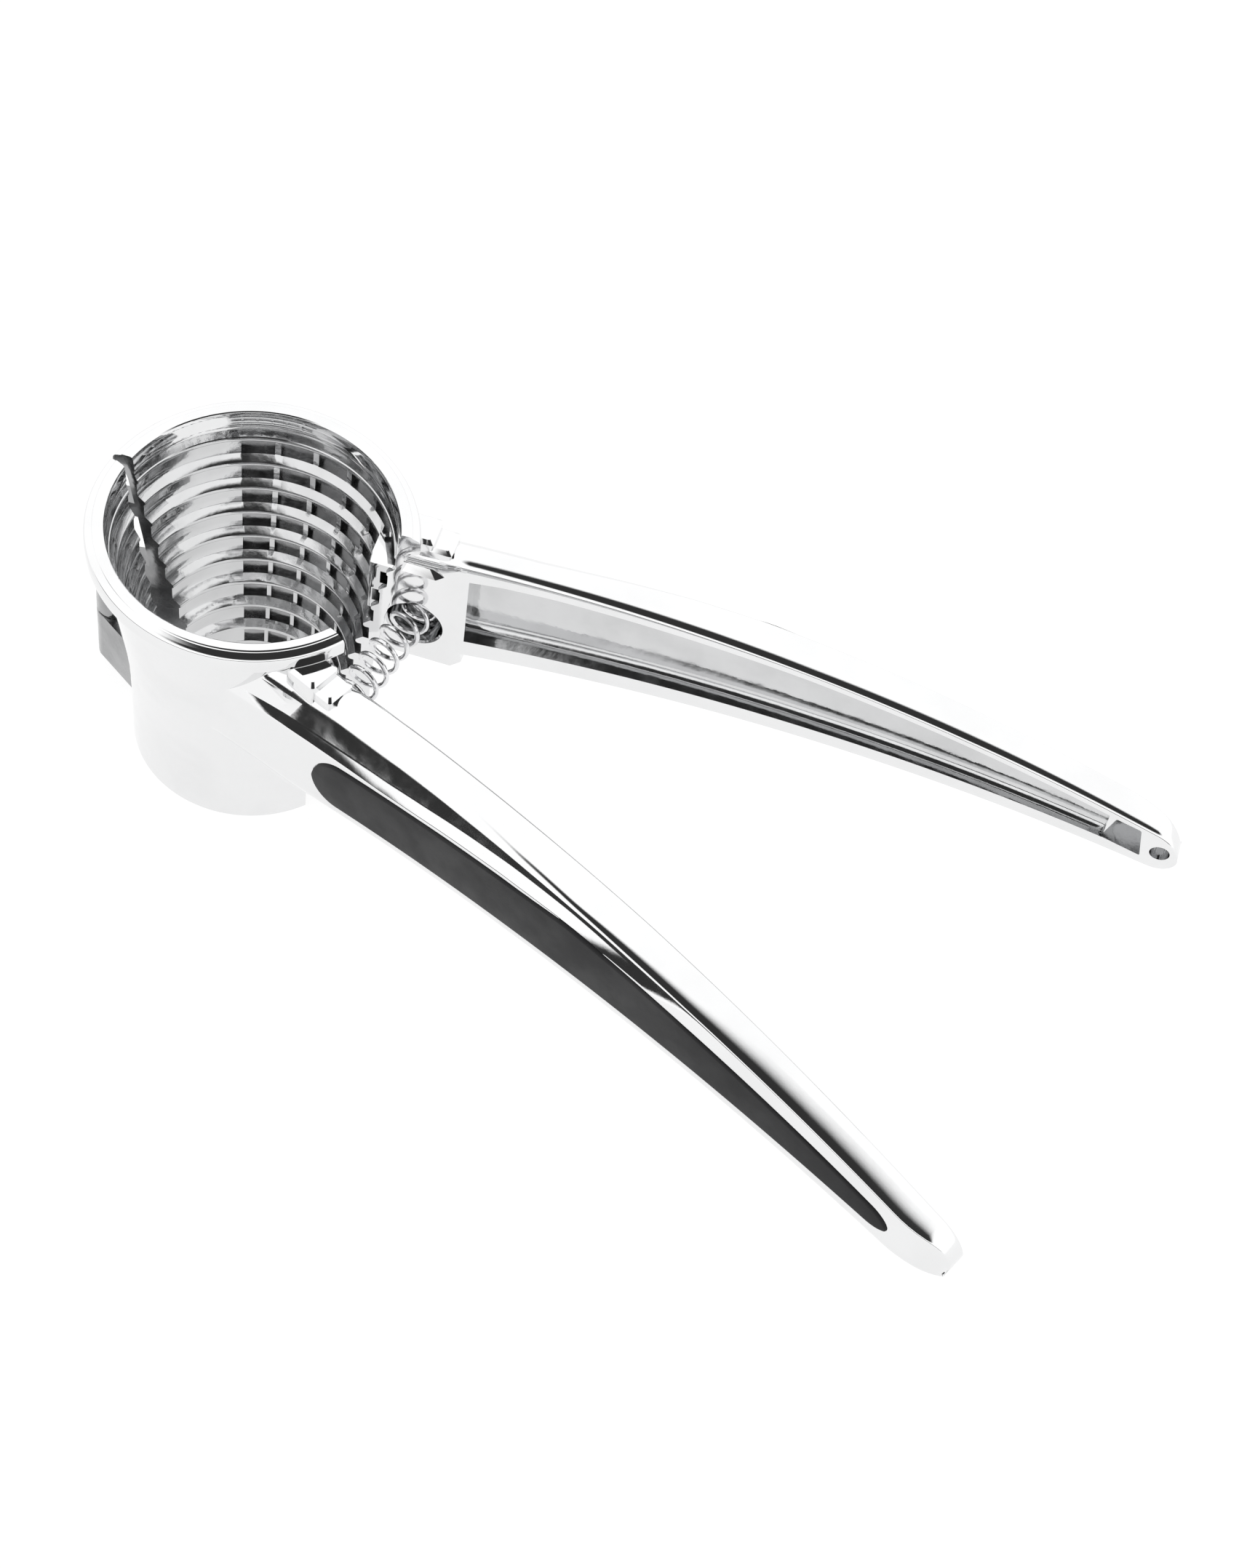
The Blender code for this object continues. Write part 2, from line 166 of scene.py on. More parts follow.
def skin(rings: Sequence[Sequence[Point]], name: str, slot: int = PLATE_SLOT) -> Object:
    """Joins equal rings of points into one closed body with flat ends.

    Args:
        rings: Rings with the same number of points, in millimetres.
        name: Object name.
        slot: Material slot of every face.

    Returns:
        The closed body.
    """
    bm = bmesh.new()
    rows = [[bm.verts.new([v * MM for v in point]) for point in ring] for ring in rings]
    count = len(rings[0])
    for lower, upper in zip(rows[:-1], rows[1:]):
        for i in range(count):
            j = (i + 1) % count
            bm.faces.new((lower[i], lower[j], upper[j], upper[i]))
    bm.faces.new(list(reversed(rows[0])))
    bm.faces.new(rows[-1])
    for face in bm.faces:
        face.material_index = slot
    return object_from(bm, name)


def turned(profile: Sequence[Flat], name: str, steps: int = 48) -> Object:
    """Turns (radius, z) points about the vertical axis, with flat ends."""
    rings = [[(x, y, z) for x, y in circle(radius, steps)] for radius, z in profile]
    return skin(rings, name)


def bored(centre: Flat, levels: Sequence[Flat], name: str, steps: int) -> Object:
    """Round cutter along Y, through (y, radius) levels, about the point (x, z)."""
    rings = []
    for y, radius in levels:
        rings.append([(centre[0] + u, y, centre[1] + v) for u, v in circle(radius, steps)])
    return skin(rings, name, CAST_SLOT)


def soft_box(low: Point, high: Point, name: str, edge: float) -> Object:
    """Box with its edges broken, in millimetres."""
    rings = []
    for z, inset in ((low[2], edge), (low[2] + edge, 0.0), (high[2] - edge, 0.0), (high[2], edge)):
        x0, x1 = low[0] + inset, high[0] - inset
        y0, y1 = low[1] + inset, high[1] - inset
        corners = [(x0, y0), (x1, y0), (x1, y1), (x0, y1)]
        rings.append([(x, y, z) for x, y in softened(corners, [(edge, edge)] * 4)])
    return skin(rings, name)


def joined(items: Sequence[Object], name: str) -> Object:
    """One object that holds the meshes of several, which are removed."""
    bm = bmesh.new()
    for item in items:
        bm.from_mesh(item.data)
    mesh = bpy.data.meshes.new(name)
    bm.to_mesh(mesh)
    bm.free()
    for item in items:
        bpy.data.objects.remove(item, do_unlink=True)
    return linked(name, mesh)


def plain_mesh(item: Object) -> Mesh:
    """Evaluated mesh of an object, as new data with no modifier behind it."""
    graph = bpy.context.evaluated_depsgraph_get()
    return bpy.data.meshes.new_from_object(item.evaluated_get(graph))


def combine(target: Object, tool: Object, operation: str) -> None:
    """Applies one exact boolean to target and removes the tool object."""
    modifier = target.modifiers.new("cut", "BOOLEAN")
    modifier.operation = operation
    modifier.solver = "EXACT"
    modifier.material_mode = "INDEX"
    modifier.object = tool
    mesh = plain_mesh(target)
    target.modifiers.remove(modifier)
    target.data = mesh
    bpy.data.objects.remove(tool, do_unlink=True)


def settle(item: Object, side: Side) -> None:
    """Moves a shape from a half's own frame into its place in the row frame.

    Args:
        item: Object at the origin whose mesh is in the half's own frame.
        side: The half that the shape belongs to.
    """
    turn = Matrix.Rotation(side.value * HALF_OPEN, 4, "Z")
    mirror = Matrix.Diagonal((1.0, side.value, 1.0, 1.0))
    item.data.transform(Matrix.Translation((hinge_x(), 0.0, 0.0)) @ turn @ mirror)
    if side is Side.FRONT:
        item.data.flip_normals()


def clean(item: Object, weld: float = 4e-6) -> None:
    """Welds coincident points, drops slivers and smooths all but the crisp edges."""
    bm = bmesh.new()
    bm.from_mesh(item.data)
    bmesh.ops.remove_doubles(bm, verts=bm.verts, dist=weld)
    bmesh.ops.dissolve_degenerate(bm, dist=1e-6, edges=bm.edges)
    bm.to_mesh(item.data)
    bm.free()
    item.data.shade_smooth()
    item.data.set_sharp_from_angle(angle=SMOOTH_ANGLE)


def hinge_x() -> float:
    """Place of the hinge axis along X in the row frame, in metres."""
    low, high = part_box("hinge_pin")
    return 0.5 * (low.x + high.x)


# ------------------------------------------------------------------ node helpers


class Nodes:
    """Short way to add linked nodes to one tree."""

    def __init__(self, tree: NodeTree) -> None:
        """Keeps the tree that nodes are added to."""
        self.tree = tree

    def add(self, kind: str, **settings: object) -> Node:
        """Adds a node and sets its plain properties."""
        node = self.tree.nodes.new(kind)
        for name, value in settings.items():
            setattr(node, name, value)
        return node

    def feed(self, socket: NodeSocket, value: object) -> None:
        """Links an output to an input socket, or sets the input's own value."""
        if isinstance(value, NodeSocket):
            self.tree.links.new(value, socket)
        else:
            socket.default_value = value

    def math(self, operation: str, *values: object, clamp: bool = False) -> NodeSocket:
        """Output of one Math node over the given sockets or numbers."""
        node = self.add("ShaderNodeMath", operation=operation, use_clamp=clamp)
        for socket, value in zip(node.inputs, values):
            self.feed(socket, value)
        return node.outputs[0]

    def polar(self, radius: object, angle: object) -> Sequence[NodeSocket]:
        """The two coordinates of a point on a circle."""
        return [self.math("MULTIPLY", radius, self.math(kind, angle)) for kind in ("COSINE", "SINE")]

    def vector(self, *values: object) -> NodeSocket:
        """Output of one Combine XYZ node over the given sockets or numbers."""
        node = self.add("ShaderNodeCombineXYZ")
        for socket, value in zip(node.inputs, values):
            self.feed(socket, value)
        return node.outputs[0]

    def parts(self, vector: object) -> Sequence[NodeSocket]:
        """The three outputs of a Separate XYZ node over a vector."""
        node = self.add("ShaderNodeSeparateXYZ")
        self.feed(node.inputs[0], vector)
        return node.outputs

    def placed(self, geometry: object, position: object) -> NodeSocket:
        """Geometry output of one Set Position node."""
        node = self.add("GeometryNodeSetPosition")
        self.feed(node.inputs["Geometry"], geometry)
        self.feed(node.inputs["Position"], position)
        return node.outputs[0]

    def shifted(self, vector: object, offset: object) -> NodeSocket:
        """Sum of two vectors."""
        node = self.add("ShaderNodeVectorMath", operation="ADD")
        self.feed(node.inputs[0], vector)
        self.feed(node.inputs[1], offset)
        return node.outputs[0]

    def bump(self, height: object, distance: float, strength: float = 1.0,
             normal: object = None) -> NodeSocket:
        """Normal output of one Bump node, over another's where one is given."""
        node = self.add("ShaderNodeBump")
        node.inputs["Strength"].default_value = strength
        node.inputs["Distance"].default_value = distance
        self.feed(node.inputs["Height"], height)
        if normal is not None:
            self.feed(node.inputs["Normal"], normal)
        return node.outputs[0]

    def span(self, value: object, low: float, high: float, to_low: float = 0.0,
             to_high: float = 1.0) -> NodeSocket:
        """Output of a clamped, smoothed Map Range node."""
        node = self.add("ShaderNodeMapRange", clamp=True, interpolation_type="SMOOTHSTEP")
        for socket, number in zip(node.inputs, (value, low, high, to_low, to_high)):
            self.feed(socket, number)
        return node.outputs[0]


def noise(nodes: Nodes, vector: object, scale: float, detail: float = 3.0,
          rough: float = 0.55) -> NodeSocket:
    """Factor output of a Noise Texture over the given coordinates."""
    texture = nodes.add("ShaderNodeTexNoise")
    nodes.feed(texture.inputs["Vector"], vector)
    texture.inputs["Scale"].default_value = scale
    texture.inputs["Detail"].default_value = detail
    texture.inputs["Roughness"].default_value = rough
    return texture.outputs[0]


Inputs = dict[str, tuple[str, object]]
Wiring = Callable[[Nodes, NodeOutputs], NodeSocket]


def grown(name: str, inputs: Inputs, wire: Wiring) -> Object:
    """Plain mesh object made by a Geometry Nodes tree.

    Args:
        name: Name of the object and the tree.
        inputs: Kind and value of each of the tree's named inputs.
        wire: Adds the tree's own nodes and returns the geometry they make.

    Returns:
        The object, with no modifier left on it.
    """
    tree = bpy.data.node_groups.new(name, "GeometryNodeTree")
    for label, (kind, _) in inputs.items():
        tree.interface.new_socket(label, in_out="INPUT", socket_type=f"NodeSocket{kind}")
    tree.interface.new_socket("Geometry", in_out="OUTPUT", socket_type="NodeSocketGeometry")
    nodes = Nodes(tree)
    given = nodes.add("NodeGroupInput").outputs
    solid = nodes.add("GeometryNodeRealizeInstances")
    nodes.feed(solid.inputs[0], wire(nodes, given))
    dressed = nodes.add("GeometryNodeSetMaterial")
    nodes.feed(dressed.inputs["Geometry"], solid.outputs[0])
    nodes.feed(dressed.inputs["Material"], given["Finish"])
    nodes.feed(nodes.add("NodeGroupOutput").inputs[0], dressed.outputs[0])
    item = linked(name, bpy.data.meshes.new(name))
    modifier = item.modifiers.new(name, "NODES")
    modifier.node_group = tree
    for socket in tree.interface.items_tree:
        if socket.in_out == "INPUT":
            modifier[socket.identifier] = inputs[socket.name][1]
    mesh = plain_mesh(item)
    item.modifiers.remove(modifier)
    item.data = mesh
    return item


# ------------------------------------------------------------------ finishes


def fresh_material(name: str) -> tuple[Material, Nodes, NodeInputs]:
    """New node material, its node helper and its Principled shader's inputs."""
    made = bpy.data.materials.new(name)
    made.use_nodes = True
    return made, Nodes(made.node_tree), made.node_tree.nodes["Principled BSDF"].inputs


def mottled(nodes: Nodes, share: object, first: Point, second: Point) -> NodeSocket:
    """Colour that goes from first to second as share goes from 0 to 1."""
    blend = nodes.add("ShaderNodeMix", data_type="RGBA")
    nodes.feed(blend.inputs["Factor"], share)
    blend.inputs[6].default_value = (*first, 1.0)
    blend.inputs[7].default_value = (*second, 1.0)
    return blend.outputs[2]


@dataclass(frozen=True)
class MetalFinish:
    """Bright or cast metal with uneven polish, fine scratches and a rippled skin."""

    name: str
    colour: Point = (0.83, 0.832, 0.835)
    roughness: Flat = (0.03, 0.08)
    ripple_scale: float = 90.0
    ripple_depth: float = 0.00002
    grain_scale: float = 900.0
    grain_depth: float = 0.000002
    tarnish: float = 0.04

    def make(self) -> Material:
        """Builds the material.

        Returns:
            A node material that reads Object coordinates only.
        """
        made, nodes, shader = fresh_material(self.name)
        place = nodes.add("ShaderNodeTexCoord").outputs["Object"]
        nodes.feed(shader["Metallic"], 1.0)
        wear = noise(nodes, place, 210.0, 4.0)
        nodes.feed(shader["Roughness"], nodes.span(wear, 0.35, 0.7, *self.roughness))
        stain = nodes.span(noise(nodes, place, 60.0, 5.0), 0.4, 0.75)
        dull = tuple(c * (1.0 - self.tarnish) for c in self.colour)
        nodes.feed(shader["Base Color"], mottled(nodes, stain, self.colour, dull))
        ripple = nodes.bump(noise(nodes, place, self.ripple_scale, 2.0), self.ripple_depth)
        grain = noise(nodes, place, self.grain_scale, 2.0)
        nodes.feed(shader["Normal"], nodes.bump(grain, self.grain_depth, normal=ripple))
        return made


@dataclass(frozen=True)
class RubberFinish:
    """Soft black moulded rubber with a fine grain and a faint sheen."""

    name: str = "soft_black_rubber"
    colour: Point = (0.010, 0.010, 0.011)
    worn: Point = (0.022, 0.022, 0.023)
    grain_scale: float = 2600.0
    grain_depth: float = 0.000025
    grain_strength: float = 0.5

    def make(self) -> Material:
        """Builds the material."""
        made, nodes, shader = fresh_material(self.name)
        place = nodes.add("ShaderNodeTexCoord").outputs["Object"]
        wear = nodes.span(noise(nodes, place, 45.0, 5.0), 0.42, 0.7)
        nodes.feed(shader["Base Color"], mottled(nodes, wear, self.colour, self.worn))
        nodes.feed(shader["Roughness"], nodes.span(noise(nodes, place, 160.0), 0.3, 0.7, 0.5, 0.62))
        nodes.feed(shader["Specular IOR Level"], 0.32)
        nodes.feed(shader["Sheen Weight"], 0.04)
        grain = noise(nodes, place, self.grain_scale, 2.0)
        nodes.feed(shader["Normal"], nodes.bump(grain, self.grain_depth, self.grain_strength))
        return made


@dataclass(frozen=True)
class Finishes:
    """Every finish on the tool, made once and shared."""

    plate: Material
    cast: Material
    deep: Material
    rubber: Material
    spring: Material
    pin: Material

    @staticmethod
    def make() -> "Finishes":
        """Makes each material once."""
        cast = MetalFinish(
            "cast_chrome", (0.66, 0.663, 0.668), (0.06, 0.16), 260.0, 0.00005, 1500.0, 0.000008, 0.12
        )
        # Darker copy of the cast metal: painted shade in the hinge knuckles, the tooth pockets and one
        # mating face
        deep = MetalFinish(
            "shaded_casting", (0.40, 0.402, 0.406), (0.14, 0.30), 300.0, 0.00008, 1300.0, 0.00001, 0.35
        )
        spring = MetalFinish(
            "spring_wire_steel", (0.80, 0.80, 0.81), (0.10, 0.22), 700.0, 0.000004, 2500.0, 0.000003, 0.15
        )
        pin = MetalFinish(
            "dull_pin_steel", (0.52, 0.52, 0.53), (0.28, 0.45), 400.0, 0.00002, 2200.0, 0.000008, 0.3
        )
        plate = MetalFinish("polished_chrome")
        return Finishes(
            plate.make(), cast.make(), deep.make(), RubberFinish().make(), spring.make(), pin.make()
        )


# ------------------------------------------------------------------ funnel


@dataclass(frozen=True)
class ToothField:
    """Pockets between the funnel's gripping ribs, laid out on rows and columns."""

    rows: int = 9
    columns: int = 7
    top_radius: float = 25.60
    radius_step: float = 1.22
    top_z: float = 51.05
    row_drop: float = 5.56
    first_angle: float = 119.9
    column_angle: float = 16.5
    size: Point = (2.2, 6.5, 3.3)
    depth: float = 0.8
    taper: float = 0.93

    def wire(self, nodes: Nodes, given: NodeOutputs) -> NodeSocket:
        """Sets a drafted block on every row and column.

        Args:
            nodes: The tree's node helper.
            given: Outputs of the tree's group input.

        Returns:
            The blocks' geometry.
        """
        line = nodes.add("GeometryNodeMeshLine")
        nodes.feed(line.inputs["Count"], nodes.math("MULTIPLY", given["Rows"], given["Columns"]))
        index = nodes.add("GeometryNodeInputIndex").outputs[0]
        row = nodes.math("FLOOR", nodes.math("DIVIDE", nodes.math("ADD", index, 0.5), given["Columns"]))
        column = nodes.math("SUBTRACT", index, nodes.math("MULTIPLY", row, given["Columns"]))
        radius = nodes.math(
            "SUBTRACT", given["Top radius"], nodes.math("MULTIPLY", row, given["Radius step"])
        )
        angle = nodes.math(
            "SUBTRACT", given["First angle"], nodes.math("MULTIPLY", column, given["Column angle"])
        )
        height = nodes.math("SUBTRACT", given["Top height"], nodes.math("MULTIPLY", row, given["Row drop"]))
        place = nodes.vector(*nodes.polar(radius, angle), height)
        width = nodes.math("DIVIDE", radius, given["Top radius"])
        copies = nodes.add("GeometryNodeInstanceOnPoints")
        spread = nodes.placed(line.outputs[0], nodes.shifted(place, given["Axis"]))
        nodes.feed(copies.inputs["Points"], spread)
        nodes.feed(copies.inputs["Instance"], self.block(nodes, given))
        nodes.feed(copies.inputs["Rotation"], nodes.vector(0.0, 0.0, angle))
        nodes.feed(copies.inputs["Scale"], nodes.vector(1.0, width, 1.0))
        return copies.outputs[0]

    def block(self, nodes: Nodes, given: NodeOutputs) -> NodeSocket:
        """One drafted block, narrower where it is deeper in the wall.

        Args:
            nodes: The tree's node helper.
            given: Outputs of the tree's group input.

        Returns:
            The block's geometry.
        """
        cube = nodes.add("GeometryNodeMeshCube")
        nodes.feed(cube.inputs["Size"], given["Pocket size"])
        x, y, z = nodes.parts(nodes.add("GeometryNodeInputPosition").outputs[0])
        half = nodes.math("MULTIPLY", nodes.parts(given["Pocket size"])[0], 0.5)
        draft = nodes.math("SUBTRACT", 1.0, given["Taper"])
        deep = nodes.math("GREATER_THAN", x, 0.0)
        narrow = nodes.math("SUBTRACT", 1.0, nodes.math("MULTIPLY", deep, draft))
        shift = nodes.math("SUBTRACT", given["Depth"], half)
        moved = nodes.vector(nodes.math("ADD", x, shift), nodes.math("MULTIPLY", y, narrow), z)
        return nodes.placed(cube.outputs[0], moved)

    def solid(self, axis: Flat, turn: float, finish: Material) -> Object:
        """Cutter for every pocket of one half, in the half's own frame.

        Args:
            axis: The funnel axis, in millimetres.
            turn: Angle from the tool's X to the half's own X, in radians.
            finish: Material of the pockets' walls.

        Returns:
            A plain mesh object of separate closed blocks.
        """
        inputs = {
            "Rows": ("Int", self.rows),
            "Columns": ("Int", self.columns),
            "Top radius": ("Float", self.top_radius * MM),
            "Radius step": ("Float", self.radius_step * MM),
            "Top height": ("Float", self.top_z * MM),
            "Row drop": ("Float", self.row_drop * MM),
            "First angle": ("Float", math.radians(self.first_angle) - turn),
            "Column angle": ("Float", math.radians(self.column_angle)),
            "Pocket size": ("Vector", [v * MM for v in self.size]),
            "Depth": ("Float", self.depth * MM),
            "Taper": ("Float", self.taper),
            "Axis": ("Vector", (axis[0] * MM, axis[1] * MM, 0.0)),
            "Finish": ("Material", finish),
        }
        item = grown("pockets", inputs, self.wire)
        # The pocket walls take the darker casting, as painted shade in the recesses
        for polygon in item.data.polygons:
            polygon.material_index = PAINTED_SHADE_SLOT
        return item


@dataclass(frozen=True)
class Funnel:
    """Half of the round funnel: ribbed rings inside, a smooth cone and rim outside."""

    hinge_distance: float = 30.6
    mating_gap: float = 0.3
    columns: int = 110
    ring_count: int = 9
    ring_pitch: float = 5.56
    ring_top_z: float = 53.6
    ring_top_radius: float = 25.4
    ring_step: float = 1.22
    barrel_radius: float = 3.4
    barrel_low: float = 1.6
    barrel_high: float = 47.0
    splits: tuple[float, float, float] = (14.9, 29.9, 43.2)
    running_gap: float = 0.3
    pin_radius: float = 1.85
    web_sink: float = 1.0
    web_side: float = 5.2
    throat_points: int = 6

    @property
    def axis(self) -> Flat:
        """Funnel axis in a half's own frame."""
        x = self.hinge_distance * math.cos(HALF_OPEN)
        return x, -self.hinge_distance * math.sin(HALF_OPEN)

    def outer_radius(self, z: float) -> float:
        """Outside radius of the cone at height z."""
        knots = [(0.0, 22.4), (8.0, 22.4), (14.0, 22.48), (20.0, 22.75), (25.0, 23.15),
                 (30.0, 23.75), (38.0, 24.85), (46.0, 26.05), (54.6, 27.4)]
        return ramp(z, knots)

    def outside(self) -> list[Flat]:
        """Outside profile from the foot up to the rim's top, as (radius, z)."""
        points = [(21.7, 0.0), (22.15, 0.12), (22.38, 0.5)]
        points += [(self.outer_radius(z), z) for z in evenly(1.2, 53.6, 44)]
        points += [(27.5, 54.5), (27.75, 55.05), (28.3, 55.4), (29.1, 55.52), (29.6, 55.66),
                   (29.88, 55.95), (29.98, 56.4), (30.0, 57.0), (30.0, 57.8), (29.98, 58.4),
                   (29.92, 58.8), (29.78, 59.12), (29.5, 59.38), (29.1, 59.54), (28.6, 59.66),
                   (28.46, 59.72), (28.36, 59.86), (28.2, 59.97), (28.0, 60.0), (26.9, 60.0),
                   (26.6, 59.94), (26.4, 59.78)]
        return points

    def inside(self) -> list[Flat]:
        """Inside profile from the mouth down through the rings to the foot."""
        points = [(26.28, 59.5), (26.18, 59.0), (26.05, 57.6), (25.98, 56.6), (25.9, 56.35),
                  (26.12, 56.1), (26.15, 55.6), (26.05, 55.3)]
        for i in range(self.ring_count):
            radius = self.ring_top_radius - self.ring_step * i
            top = self.ring_top_z - self.ring_pitch * i
            points += [(radius + 0.26, top + 0.30), (radius + 0.08, top + 0.14),
                       (radius, top - 0.08), (radius, top - 0.50), (radius + 0.08, top - 0.68),
                       (radius + 0.26, top - 0.80), (radius + 0.26, top - 2.4),
                       (radius + 0.20, top - 3.9), (radius + 0.05, top - 4.2)]
        last = self.ring_top_radius - self.ring_step * (self.ring_count - 1)
        points += [(last + 0.1, 4.0), (last + 0.15, 1.0), (last + 0.4, 0.3), (last + 0.8, 0.0)]
        return points

    def shell(self) -> Object:
        """Clean closed body of the half funnel, flat on its mating plane.

        Returns:
            The shell, with its inner faces below the throat in the cast slot.
        """
        outside, inside = self.outside(), self.inside()
        profile = outside + inside
        bm = bmesh.new()
        columns = []
        for j in range(self.columns + 1):
            column = []
            for radius, z in profile:
                start = math.asin((self.mating_gap - self.axis[1]) / radius)
                angle = lerp(start, math.pi - start, j / self.columns)
                x = self.axis[0] + radius * math.cos(angle)
                y = self.axis[1] + radius * math.sin(angle)
                column.append(bm.verts.new((x * MM, y * MM, z * MM)))
            columns.append(column)
        count = len(profile)
        for left, right in zip(columns[:-1], columns[1:]):
            for i in range(count):
                j = (i + 1) % count
                face = bm.faces.new((left[i], left[j], right[j], right[i]))
                inner = len(outside) + self.throat_points <= i < count - 2
                face.material_index = CAST_SLOT if inner else PLATE_SLOT
        bm.faces.new(list(reversed(columns[0])))
        # This mating face takes the darker casting, as painted shade
        bm.faces.new(columns[-1]).material_index = PAINTED_SHADE_SLOT
        return object_from(bm, "shell")

    def spans(self, side: Side) -> list[Flat]:
        """Heights of one half's knuckles, a running gap from the other half's."""
        levels = (self.barrel_low, *self.splits, self.barrel_high)
        first = 0 if side is Side.FRONT else 1
        found = []
        for i in range(first, len(levels) - 1, 2):
            low = levels[i] + (self.running_gap / 2.0 if i > 0 else 0.0)
            high = levels[i + 1] - (self.running_gap / 2.0 if i < len(levels) - 2 else 0.0)
            found.append((low, high))
        return found

    def knuckle(self, span: Flat) -> Object:
        """One hinge knuckle with the web that ties it to the wall."""
        low, high = span
        edge, radius = 0.35, self.barrel_radius
        barrel = turned(
            [(radius - edge, low), (radius, low + edge), (radius, high - edge), (radius - edge, high)],
            "barrel",
        )
        rings = []
        for z in (low + 0.02, 0.5 * (low + high), high - 0.02):
            outline = [(0.0, self.mating_gap)]
            for y in evenly(self.mating_gap, self.web_side, 5):
                reach = math.sqrt((self.outer_radius(z) - self.web_sink) ** 2 - (y - self.axis[1]) ** 2)
                outline.append((self.axis[0] - reach, y))
            outline.append((-1.2, radius - 0.25))
            rings.append([(x, y, z) for x, y in outline])
        combine(barrel, skin(rings, "web", CAST_SLOT), "UNION")
        # The whole knuckle takes the darker casting, as painted shade in the hinge
        for polygon in barrel.data.polygons:
            polygon.material_index = PAINTED_SHADE_SLOT
        return barrel


# ------------------------------------------------------------------ handle


@dataclass(frozen=True)
class Handle:
    """Curved lever that grows out of the cone, hollowed by a channel on its inner face."""

    tip: float = 205.5
    inner: float = 2.2
    outer: float = 13.3
    taper: float = 0.0198
    lean_start: float = 110.0
    lean_end: float = 194.0
    lean_depth: float = 1.4
    root_end: float = 66.0
    tip_round: float = 5.2
    chamfer_drop: float = 1.9
    lower_rise: float = 3.2
    station_gap: float = 1.6
    channel_start: float = 68.1
    channel_end: float = 191.0
    tip_floor: float = 6.9
    hole_place: Flat = (201.9, 29.2)
    hole_radius: float = 1.9
    hole_floor: float = 5.5

    def top(self, x: float) -> float:
        """Height of the handle's upper face at x."""
        u = (max(x, 60.0) - 60.0) / 150.0
        return FUNNEL_HEIGHT - 6.6 + 14.4 * u - 36.8 * u * u

    def bottom(self, x: float) -> float:
        """Height of the handle's lower face at x."""
        u = (max(x, 60.0) - 60.0) / 150.0
        return FUNNEL_HEIGHT - 34.0 + 29.3 * u - 33.4 * u * u

    def side(self, x: float) -> float:
        """How far out the lower part of the grip face stands at x."""
        root = max(0.0, 1.0 - (x - 42.0) / 22.5)
        tip = max(0.0, (x - self.lean_end) / (self.tip - self.lean_end))
        return self.outer - self.taper * (x - 60.0) + 2.2 * root * root - 2.9 * tip * tip

    def crease_drop(self, x: float) -> float:
        """How far the outer crease lies below the upper face at x."""
        return ramp(x, [(46, 6.6), (66, 6.2), (80, 5.6), (88, 4.7), (95, 3.7), (108, 2.1),
                        (121, 1.2), (148, 0.7), (205, 0.6)])

    def lean(self, x: float) -> float:
        """How far the grip face leans inwards between its lower and upper edge."""
        return ramp(x, [(self.lean_start, 0.0), (self.lean_end, self.lean_depth)])

    def face(self, x: float, z: float) -> float:
        """Y of the grip face at x and z."""
        low = self.bottom(x) + self.lower_rise
        high = self.top(x) - self.crease_drop(x) - self.chamfer_drop
        return self.side(x) - self.lean(x) * (z - low) / (high - low)

    def section(self, x: float, scale: float = 1.0) -> list[Flat]:
        """Closed (y, z) outline of the handle at x.

        Args:
            x: Distance from the hinge axis.
            scale: Share of the full height, less than one where the tip closes.

        Returns:
            The outline's points, the same number at every x.
        """
        middle = 0.5 * (self.top(x) + self.bottom(x))
        half = 0.5 * (self.top(x) - self.bottom(x)) * scale
        low, high = middle - half, middle + half
        outer, inner = self.side(x), self.inner
        upper = outer - self.lean(x)
        crease_y = outer - ramp(x, [(60, 1.3), (100, 1.6), (205, 1.8)])
        fall = self.crease_drop(x) * scale
        lift = fall + self.chamfer_drop * scale
        shoulder_y = crease_y - 0.6 * self.crease_drop(x)
        fillet = ramp(x, [(56, 5.2), (61, 4.6), (66, 3.1), (82, 2.8), (133, 2.7), (188, 2.8), (205, 2.6)])
        drop = ramp(x, [(56, 5.0), (61, 4.6), (66, 2.4), (82, 1.9), (133, 1.1), (188, 1.6), (205, 1.4)])
        crown = ramp(x, [(46, 3.0), (80, 2.6), (108, 1.0), (124, 1.0), (140, 2.2), (162, 3.8),
                         (188, 4.6), (205, 4.0)])
        share = min(1.0, 0.94 * (shoulder_y - inner) / (fillet + crown))
        fillet, crown = fillet * share, crown * share
        corners = [(inner, low), (outer - 2.6, low), (outer, low + self.lower_rise * scale),
                   (upper, high - lift), (crease_y, high - fall), (shoulder_y, high), (inner, high)]
        edge = 0.35 * scale
        reach = [(0.8 * scale, 0.8), (1.0, 1.0 * scale), (1.0 * scale, 1.6 * scale),
                 (edge, edge), (edge * 0.6, min(edge * 0.6, 0.3 * fall)),
                 (0.6 * fall, crown), (fillet, drop * scale)]
        return softened(corners, reach, (4, 5, 5, 5, 4, 10, 10))

    def loft(self, funnel: Funnel) -> Object:
        """Solid handle from inside the cone's wall to the round tip.

        Args:
            funnel: The funnel that the handle's root is sunk into.

        Returns:
            The closed handle.
        """
        rings = []
        for share in evenly(0.0, 1.0, 12)[:-1]:
            nominal = lerp(47.0, self.root_end, share)
            ring = []
            for y, z in self.section(nominal):
                radius = funnel.outer_radius(z) - 0.5
                across = y - funnel.axis[1]
                start = funnel.axis[0] + math.sqrt(radius * radius - across * across)
                ring.append((lerp(start, self.root_end, share), y, z))
            rings.append(ring)
        straight = self.tip - self.tip_round
        count = int((straight - self.root_end) / self.station_gap)
        for x in evenly(self.root_end, straight, count):
            rings.append([(x, y, z) for y, z in self.section(x)])
        for angle in evenly(8.0, 88.0, 13):
            x = straight + self.tip_round * math.sin(math.radians(angle))
            rings.append([(x, y, z) for y, z in self.section(x, math.cos(math.radians(angle)))])
        return skin(rings, "arm")

